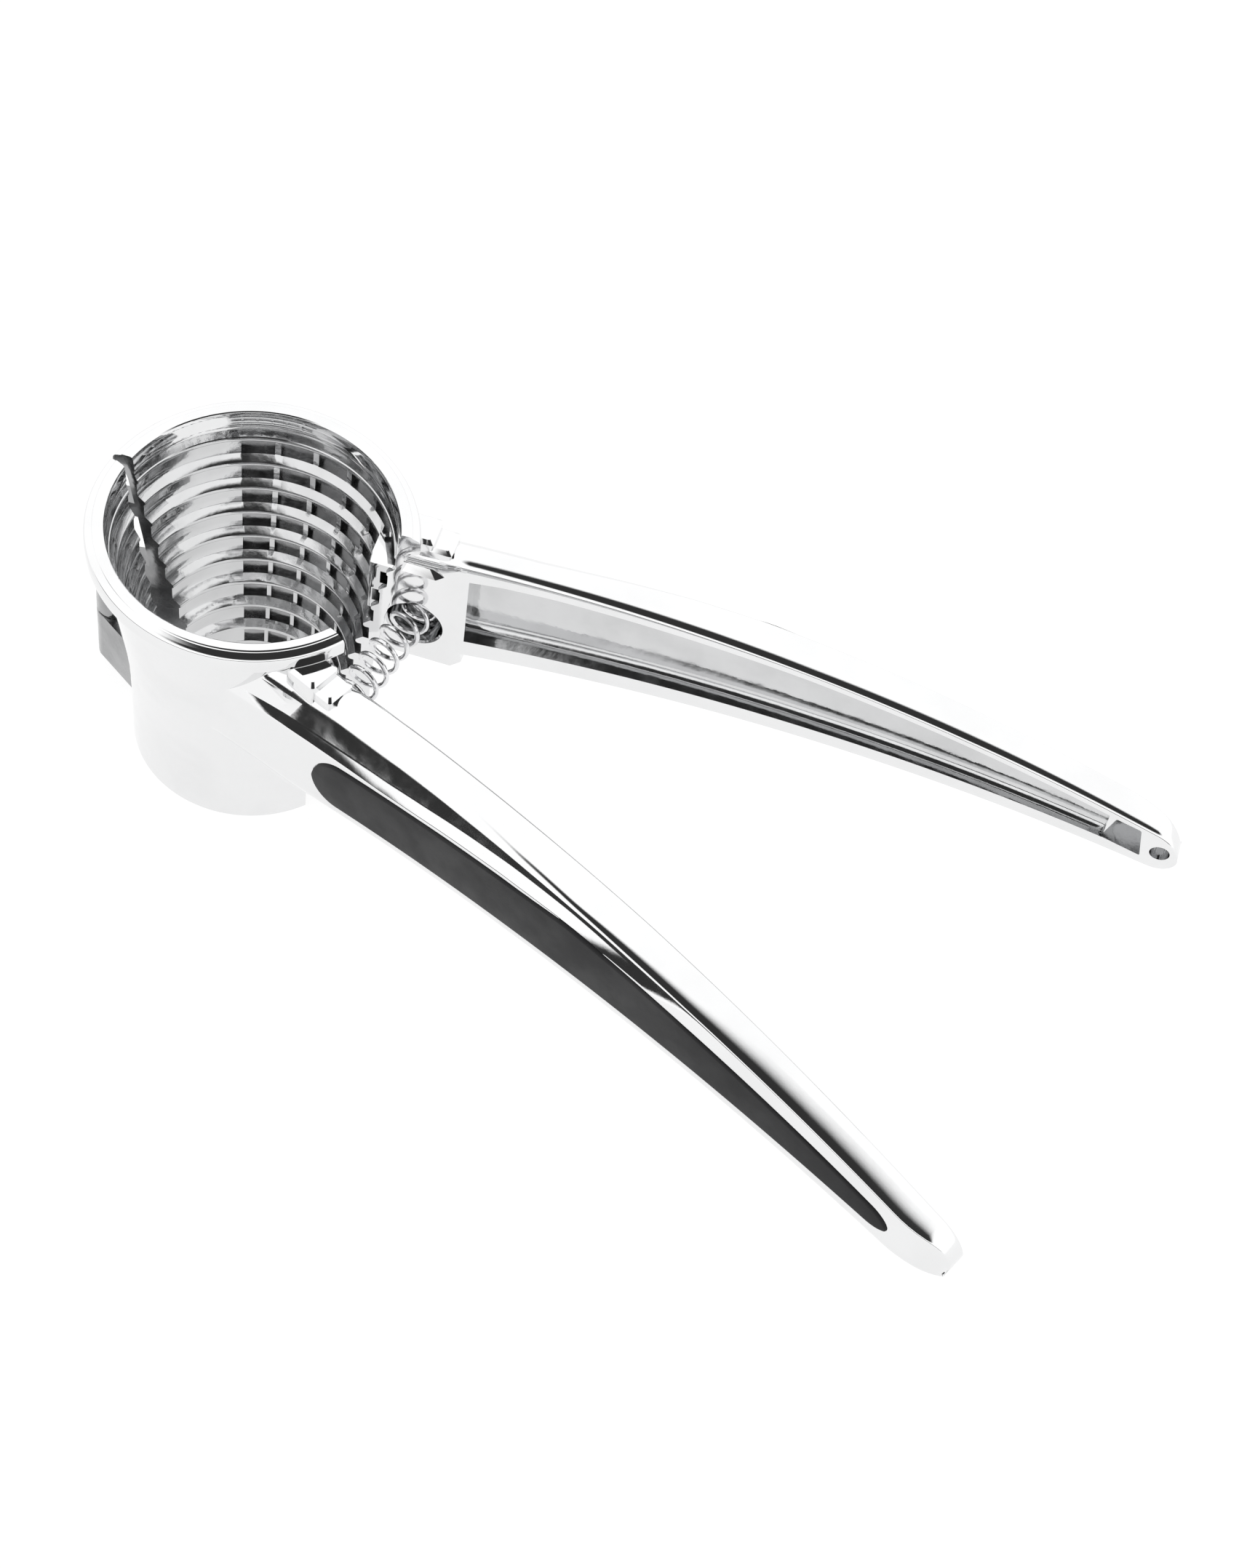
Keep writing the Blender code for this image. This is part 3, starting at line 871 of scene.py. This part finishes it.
    def channel(self) -> Object:
        """Cutter for the hollow along the inner face, with drafted walls."""
        rings = []
        for x in evenly(self.channel_start, self.channel_end, 60):
            high = self.top(x) - ramp(x, [(68, 4.4), (74, 3.6), (84, 3.0), (133, 1.9), (192, 1.7)])
            low = self.bottom(x) + ramp(x, [(68, 4.4), (84, 4.1), (135, 3.4), (190, 2.9)])
            floor = ramp(x, [(68, 6.6), (84, 6.2), (135, 5.3), (190, 4.6)])
            corners = [(-1.0, low), (floor, low + 0.25), (floor, high - 0.2), (-1.0, high)]
            ring = [(x, -1.0, low)]
            for i, reach in ((1, 2.3), (2, 0.8)):
                for y, z in rounded(corners[i], corners[i - 1], corners[i + 1], (reach, reach), 9):
                    ring.append((x, y, z))
            ring.append((x, -1.0, high))
            rings.append(ring)
        return skin(rings, "channel", CAST_SLOT)

    def tip_pocket(self) -> Object:
        """Cutter for the deeper leaning pocket near the tip."""
        corners = [(190.6, 29.3), (198.6, 27.0), (197.4, 34.2), (192.4, 35.6)]
        outline = softened(corners, [(0.4, 0.4)] * 4)
        rings = [[(x, y, z) for x, z in outline] for y in (-1.0, self.tip_floor)]
        return skin(rings, "tip_pocket", CAST_SLOT)

    def tip_hole(self) -> Object:
        """Cutter for the blind round hole in the tip."""
        levels = ((-1.0, self.hole_radius), (self.hole_floor, self.hole_radius))
        return bored(self.hole_place, levels, "tip_hole", 32)


@dataclass(frozen=True)
class GripShape:
    """Long rounded outline of a grip, drawn on the handle's own face."""

    handle: Handle
    start: float = 64.5
    end: float = 194.0
    start_round: float = 6.0
    end_round: float = 4.0
    top_margin: float = 2.9
    root_margin: float = 7.1
    root_span: float = 58.0
    bottom_margin: float = 5.3

    def limits(self, x: float, grow: float) -> Flat:
        """Lower and upper edge of the outline at x, taken outwards by grow."""
        root = max(0.0, 1.0 - (x - self.start) / self.root_span)
        low = self.handle.bottom(x) + self.bottom_margin
        high = self.handle.top(x) - self.top_margin - self.root_margin * root
        middle = 0.5 * (low + high)
        past_start = max(0.0, (self.start + self.start_round - x) / (self.start_round + grow))
        past_end = max(0.0, (x - self.end + self.end_round) / (self.end_round + grow))
        bow = math.sqrt(max(0.0, 1.0 - past_start ** 2 - past_end ** 2))
        half = (0.5 * (high - low) + grow) * bow
        return middle - half, middle + half

    def stations(self, grow: float) -> list[float]:
        """Places along X, closer together where the ends round off."""
        angles = [math.radians(v) for v in evenly(6.0, 84.0, 14)]
        first, last = self.start + self.start_round, self.end - self.end_round
        found = [first - (self.start_round + grow) * math.cos(angle) for angle in angles]
        found += evenly(first, last, 64)
        found += [last + (self.end_round + grow) * math.cos(angle) for angle in reversed(angles)]
        return found

    def solid(self, name: str, grow: float, deep: float, proud: float, edge: float) -> Object:
        """Body on the grip face, from deep below it to proud above it.

        Args:
            name: Object name.
            grow: How far the outline is taken outwards.
            deep: How far the body reaches into the handle.
            proud: How far it stands out of the handle.
            edge: Radius of the outer edges.

        Returns:
            The closed body.
        """
        rings = []
        for x in self.stations(grow):
            low, high = self.limits(x, grow)
            soft = min(edge, 0.3 * (high - low))
            ring = []
            for z in (low, lerp(low, high, 0.5), high):
                ring.append((x, self.handle.face(x, z) - deep, z))
            for limit, way, first, last in ((high, -1.0, 0.0, 90.0), (low, 1.0, 90.0, 0.0)):
                for angle in evenly(first, last, 7):
                    turn = math.radians(angle)
                    z = limit + way * soft * (1.0 - math.cos(turn))
                    rise = proud - edge * (1.0 - math.sin(turn))
                    ring.append((x, self.handle.face(x, z) + rise, z))
            rings.append(ring)
        return skin(rings, name)


@dataclass(frozen=True)
class SpringSeat:
    """Block at the handle's root that holds one end of the spring."""

    face: float = 1.0
    back: float = 11.4
    low: float = 24.5
    high: float = 50.2
    socket: Flat = (58.7, 34.7)
    socket_radius: float = 5.2
    socket_floor: float = 8.6

    def ridge(self, z: float) -> float:
        """Where the slanting right edge of the block's face runs at height z."""
        return ramp(z, [(25.0, 66.2), (47.4, 62.4), (51.0, 61.8)])

    def block(self) -> Object:
        """Block with a slanting bevel towards the handle."""
        rings = []
        for z, inset in ((self.low, 0.6), (self.low + 0.6, 0.0), (30.0, 0.0), (36.0, 0.0), (42.0, 0.0),
                         (self.high - 1.2, 0.0), (self.high, 1.2)):
            edge = self.ridge(z)
            front = self.face + inset
            corners = [(49.5, front), (edge - inset, front), (edge + 1.7 - inset, 2.6 + inset * 0.4),
                       (edge + 1.7 - inset, 9.0), (56.0, self.back), (49.5, self.back)]
            reach = [(0.4, 0.4), (0.18, 0.18), (0.18, 0.18), (0.4, 0.4), (0.4, 0.4), (0.4, 0.4)]
            rings.append([(x, y, z) for x, y in softened(corners, reach)])
        return skin(rings, "block")

    def steps(self) -> list[Object]:
        """Two small raised steps between the rim's end and the handle's top."""
        first = soft_box((54.0, 3.2, 50.0), (60.6, 9.8, 56.2), "step_one", 0.7)
        second = soft_box((54.0, 3.2, 50.0), (64.2, 9.2, 54.6), "step_two", 0.7)
        return [first, second]

    def hole(self) -> Object:
        """Cutter for the round spring socket, with a broken lip."""
        radius = self.socket_radius
        levels = ((-2.0, radius + 0.35), (self.face, radius + 0.35), (self.face + 0.4, radius),
                  (self.socket_floor - 0.3, radius), (self.socket_floor, radius - 0.3))
        return bored(self.socket, levels, "socket", 56)


@dataclass(frozen=True)
class CastHalf:
    """One casting: half funnel, hinge knuckles, spring seat and handle in one piece."""

    funnel: Funnel
    handle: Handle
    seat: SpringSeat
    teeth: ToothField
    grip: GripShape
    seat_gap: float = 0.12
    seat_depth: float = 1.25
    seat_reach: float = 6.0

    def build(self, side: Side, finishes: Finishes) -> Object:
        """Builds and dresses one casting and hangs it on its body.

        Args:
            side: Which half to build.
            finishes: The shared materials.

        Returns:
            The finished casting.
        """
        word = side.name.lower()
        body = self.funnel.shell()
        combine(body, self.handle.loft(self.funnel), "UNION")
        combine(body, self.seat.block(), "UNION")
        for step in self.seat.steps():
            combine(body, step, "UNION")
        for span in self.funnel.spans(side):
            combine(body, self.funnel.knuckle(span), "UNION")
        pockets = self.teeth.solid(self.funnel.axis, HALF_OPEN, finishes.deep)
        bore = turned(
            [(self.funnel.pin_radius, -5.0), (self.funnel.pin_radius, 50.0)], "bore", steps=32
        )
        cuts = [self.seat.hole(), self.handle.channel(), bore, self.handle.tip_hole()]
        combine(body, joined(cuts, "cut"), "DIFFERENCE")
        combine(body, self.handle.tip_pocket(), "DIFFERENCE")
        recess = self.grip.solid("recess", self.seat_gap, self.seat_depth, self.seat_reach, 0.01)
        combine(body, recess, "DIFFERENCE")
        combine(body, pockets, "DIFFERENCE")
        clean(body)
        settle(body, side)
        body.name = f"{word}_casting"
        body.data.name = body.name
        dress(body, [finishes.plate, finishes.cast, finishes.deep])
        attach(body, word)
        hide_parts(f"{word}_half")
        return body


def dress(item: Object, materials: Sequence[Material]) -> None:
    """Gives an object its materials and keeps each face's slot number."""
    slots = np.zeros(len(item.data.polygons), np.int32)
    item.data.polygons.foreach_get("material_index", slots)
    item.data.materials.clear()
    for material in materials:
        item.data.materials.append(material)
    item.data.polygons.foreach_set("material_index", np.clip(slots, 0, len(materials) - 1))


# ------------------------------------------------------------------ small parts


@dataclass(frozen=True)
class GripPad:
    """Rubber inlay on a handle's outer face, with a softly rounded edge."""

    shape: GripShape
    depth: float = 1.0
    proud: float = 0.45
    edge: float = 0.55

    def build(self, side: Side, finishes: Finishes) -> Object:
        """Builds and dresses one grip.

        Args:
            side: Which handle the grip lies in.
            finishes: The shared materials.

        Returns:
            The finished grip.
        """
        word = side.name.lower()
        pad = self.shape.solid(f"{word}_grip_pad", 0.0, self.depth, self.proud, self.edge)
        clean(pad)
        settle(pad, side)
        dress(pad, [finishes.rubber])
        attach(pad, word)
        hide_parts(f"{word}_grip")
        return pad


@dataclass(frozen=True)
class HingePin:
    """Pin through the knuckles, with a low domed head and a chamfered foot."""

    radius: float = 1.75
    low: float = 1.2
    shoulder: float = 47.3
    head_radius: float = 2.8
    head_height: float = 0.9

    def build(self, finishes: Finishes) -> Object:
        """Builds and dresses the pin."""
        profile = [(0.5, self.low), (self.radius - 0.3, self.low), (self.radius, self.low + 0.3),
                   (self.radius, self.shoulder), (self.head_radius - 0.1, self.shoulder)]
        for angle in evenly(0.0, 82.0, 7):
            turn = math.radians(angle)
            rise = self.shoulder + 0.1 + (self.head_height - 0.1) * math.sin(turn)
            profile.append((self.head_radius * math.cos(turn), rise))
        pin = turned(profile, "pin_with_head")
        clean(pin)
        pin.data.transform(Matrix.Translation((hinge_x(), 0.0, 0.0)))
        dress(pin, [finishes.pin])
        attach(pin, "rear")
        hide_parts("hinge_pin")
        return pin


@dataclass(frozen=True)
class ReturnSpring:
    """Compression spring between the two seats, with a closed turn at each end."""

    turns: float = 12.0
    steps: int = 30
    outer_radius: float = 3.7
    wire_radius: float = 0.5
    wire_sides: int = 12
    keep: float = 0.14

    def wire(self, nodes: Nodes, given: NodeOutputs) -> NodeSocket:
        """Winds a wire along Y.

        Args:
            nodes: The tree's node helper.
            given: Outputs of the tree's group input.

        Returns:
            The wire's geometry.
        """
        total = nodes.math("MULTIPLY", given["Turns"], given["Steps"])
        line = nodes.add("GeometryNodeMeshLine")
        nodes.feed(line.inputs["Count"], nodes.math("ADD", total, 1.0))
        index = nodes.add("GeometryNodeInputIndex").outputs[0]
        turn = nodes.math("DIVIDE", index, given["Steps"])
        angle = nodes.math("MULTIPLY", turn, 2.0 * math.pi)
        wire = nodes.math("MULTIPLY", given["Wire radius"], 2.0)
        last = nodes.math("SUBTRACT", given["Turns"], 1.0)
        open_length = nodes.math("SUBTRACT", given["Length"], nodes.math("MULTIPLY", wire, 2.0))
        first_turn = nodes.math("MULTIPLY", nodes.math("MINIMUM", turn, 1.0), wire)
        open_share = nodes.math(
            "DIVIDE", nodes.math("SUBTRACT", turn, 1.0), nodes.math("SUBTRACT", last, 1.0), clamp=True
        )
        end_turn = nodes.math(
            "MULTIPLY", nodes.math("MAXIMUM", nodes.math("SUBTRACT", turn, last), 0.0), wire
        )
        along = nodes.math("ADD", first_turn, nodes.math("MULTIPLY", open_share, open_length))
        along = nodes.math("ADD", along, end_turn)
        along = nodes.math("SUBTRACT", along, nodes.math("MULTIPLY", given["Length"], 0.5))
        across, height = nodes.polar(given["Coil radius"], angle)
        place = nodes.vector(across, along, height)
        path = nodes.add("GeometryNodeMeshToCurve")
        wound = nodes.placed(line.outputs[0], nodes.shifted(place, given["Centre"]))
        nodes.feed(path.inputs[0], wound)
        ring = nodes.add("GeometryNodeCurvePrimitiveCircle")
        ring.inputs["Resolution"].default_value = self.wire_sides
        nodes.feed(ring.inputs["Radius"], given["Wire radius"])
        tube = nodes.add("GeometryNodeCurveToMesh")
        nodes.feed(tube.inputs["Curve"], path.outputs[0])
        nodes.feed(tube.inputs["Profile Curve"], ring.outputs[0])
        tube.inputs["Fill Caps"].default_value = True
        return tube.outputs[0]

    def build(self, finishes: Finishes) -> Object:
        """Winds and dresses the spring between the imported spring's own ends.

        Args:
            finishes: The shared materials.

        Returns:
            The finished spring.
        """
        low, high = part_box("return_spring")
        centre = (low + high) / 2.0
        inputs = {
            "Turns": ("Float", self.turns),
            "Steps": ("Int", self.steps),
            "Coil radius": ("Float", (self.outer_radius - self.wire_radius) * MM),
            "Wire radius": ("Float", self.wire_radius * MM),
            "Length": ("Float", (high.y - low.y) - 2.0 * self.wire_radius * MM),
            "Centre": ("Vector", tuple(centre)),
            "Finish": ("Material", finishes.spring),
        }
        item = grown("wound_spring", inputs, self.wire)
        clean(item, 1e-6)
        dress(item, [finishes.spring])
        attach(item, "rear")
        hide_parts("return_spring")
        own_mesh(item)
        return item


# ------------------------------------------------------------------ studio


@dataclass(frozen=True)
class Studio:
    """Pale floor, white surround with a dark ceiling, and the camera."""

    camera_place: Point = (0.1298, -0.3199, 0.5229)
    right: Point = (0.87445, 0.47482, 0.09937)
    up: Point = (-0.44161, 0.69438, 0.56816)
    forward: Point = (-0.20077, 0.54071, -0.81690)
    lens: float = 76.20
    floor_size: float = 3.0
    ceiling: Point = (0.28, -0.25, 0.93)
    ceiling_reach: float = 34.5
    ceiling_soft: float = 5.0
    strip_top: Flat = (0.10, 0.14)
    strip_side: Flat = (-0.2, -0.5)
    darkness: float = 0.97
    brightness: float = 1.22
    floor_colour: float = 0.2
    floor_glow: float = 0.87

    def build(self) -> None:
        """Makes the floor, the surround and the camera."""
        bpy.context.scene.view_settings.view_transform = "Standard"
        self.floor()
        self.surround()
        self.camera()

    def floor(self) -> None:
        """Pale floor that glows a little, so that it stays white under the tool."""
        material, nodes, shader = fresh_material("pale_floor")
        nodes.feed(shader["Base Color"], (*[self.floor_colour] * 3, 1.0))
        nodes.feed(shader["Roughness"], 0.9)
        nodes.feed(shader["Emission Color"], (1.0, 1.0, 1.0, 1.0))
        nodes.feed(shader["Emission Strength"], self.floor_glow)
        place = nodes.add("ShaderNodeTexCoord").outputs["Object"]
        nodes.feed(shader["Normal"], nodes.bump(noise(nodes, place, 300.0), 0.0001))
        half = 0.5 * self.floor_size / MM
        corners = [(-half, -half), (half, -half), (half, half), (-half, half)]
        rings = [[(x, y, z) for x, y in corners] for z in (-20.0, -0.05)]
        sheet = skin(rings, "studio_floor")
        sheet.data.materials.append(material)

    def surround(self) -> None:
        """World light by direction: white walls, a dark ceiling and a dark low strip."""
        world = bpy.data.worlds.new("studio_surround")
        bpy.context.scene.world = world
        world.use_nodes = True
        nodes = Nodes(world.node_tree)
        background = world.node_tree.nodes["Background"]
        place = nodes.add("ShaderNodeTexCoord").outputs["Generated"]
        _, across, height = nodes.parts(place)
        toward = nodes.add("ShaderNodeVectorMath", operation="DOT_PRODUCT")
        nodes.feed(toward.inputs[0], place)
        toward.inputs[1].default_value = Vector(self.ceiling).normalized()
        inner = math.cos(math.radians(self.ceiling_reach - self.ceiling_soft))
        outer = math.cos(math.radians(self.ceiling_reach + self.ceiling_soft))
        cap = nodes.span(toward.outputs["Value"], outer, inner)
        low, high = self.strip_top
        strip = nodes.math("MULTIPLY", nodes.span(height, -0.02, 0.0), nodes.span(height, high, low))
        strip = nodes.math("MULTIPLY", strip, nodes.span(across, *self.strip_side))
        dark = nodes.math("MAXIMUM", cap, strip)
        value = nodes.math("SUBTRACT", 1.0, nodes.math("MULTIPLY", dark, self.darkness))
        value = nodes.math("MULTIPLY", value, self.brightness)
        mixed = nodes.add("ShaderNodeCombineColor")
        for socket in mixed.inputs:
            nodes.feed(socket, value)
        nodes.feed(background.inputs["Color"], mixed.outputs[0])

    def camera(self) -> None:
        """Camera at the measured place, with its slight roll."""
        data = bpy.data.cameras.new("camera")
        data.lens = self.lens
        data.sensor_width = 36.0
        data.clip_start = 0.01
        data.clip_end = 20.0
        item = bpy.data.objects.new("camera", data)
        bpy.context.scene.collection.objects.link(item)
        columns = (Vector(self.right), Vector(self.up), -Vector(self.forward))
        turn = Matrix(columns).transposed().to_4x4()
        item.matrix_world = Matrix.Translation(self.camera_place) @ turn
        bpy.context.scene.camera = item


def report(item: Object) -> None:
    """Logs a finished piece's name and size."""
    LOG.info("%s: %d faces", item.name, len(item.data.polygons))


def main() -> None:
    """Loads the frame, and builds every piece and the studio."""
    logging.basicConfig(level=logging.INFO)
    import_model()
    finishes = Finishes.make()
    handle = Handle()
    shape = GripShape(handle)
    half = CastHalf(Funnel(), handle, SpringSeat(), ToothField(), shape)
    grip = GripPad(shape)
    for side in Side:
        report(half.build(side, finishes))
        report(grip.build(side, finishes))
    report(HingePin().build(finishes))
    report(ReturnSpring().build(finishes))
    Studio().build()


if __name__ == "__main__":
    main()
